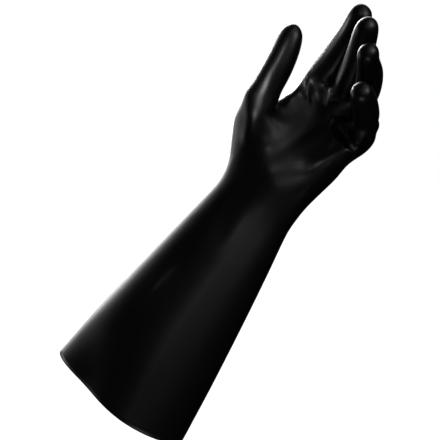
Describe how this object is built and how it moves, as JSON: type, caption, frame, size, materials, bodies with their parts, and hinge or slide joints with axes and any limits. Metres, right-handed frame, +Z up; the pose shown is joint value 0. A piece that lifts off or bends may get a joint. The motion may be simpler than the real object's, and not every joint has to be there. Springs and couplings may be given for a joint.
{
  "type": "neoprene chemical glove",
  "caption": "Long hollow rubber glove for a left hand: a tapering forearm cuff open at its end, a palm, a thumb held apart and loosely curled fingers.",
  "frame": {"origin": "middle of the cuff's open end, where the arm goes in", "axes": "+Z up the forearm towards the fingers, the palm faces -Y, the thumb is on the -X side"},
  "size_m": [0.1346, 0.1344, 0.3966],
  "materials": {
    "neoprene": "semi-gloss"
  },
  "bodies": {
    "root": {"glove_shell": "neoprene"}
  },
  "joints": []
}
